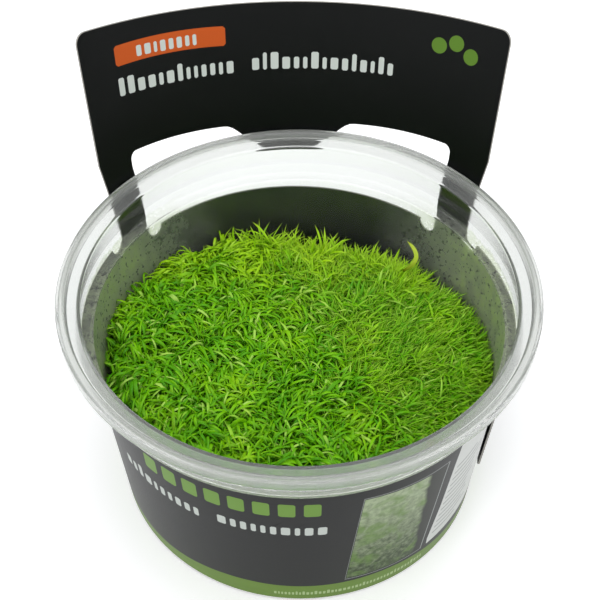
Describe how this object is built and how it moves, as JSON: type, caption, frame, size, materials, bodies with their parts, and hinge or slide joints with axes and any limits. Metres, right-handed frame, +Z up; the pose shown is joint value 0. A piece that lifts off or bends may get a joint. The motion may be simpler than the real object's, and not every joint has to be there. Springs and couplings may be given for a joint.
{
  "type": "tissue culture utricularia graminifolia",
  "caption": "Clear tapered culture cup holding a dense carpet of fine grass-like bladderwort on gel, in a black card sleeve with a curved header panel standing behind the rim.",
  "frame": {"origin": "middle of the cup's flat underside, on the surface it stands on", "axes": "+Z up along the cup's axis, +Y towards the header panel, +X to the right seen from the front"},
  "size_m": [0.101, 0.1084, 0.0932],
  "materials": {
    "clear_cup": "thin clear moulded polypropylene, glossy, fogged with fine condensation on the inside below the neck",
    "gel": "set agar culture gel, cloudy and pale",
    "plant": "fresh bright green leaf blades, smooth and slightly waxy, with paler tips and dark gaps between them",
    "card": "black card printed on both sides with a satin coating, green band along the bottom, pale cut edge"
  },
  "bodies": {
    "root": {"cup": "clear_cup", "culture_gel": "gel", "plant_carpet": "plant", "card_sleeve": "card"}
  },
  "joints": []
}
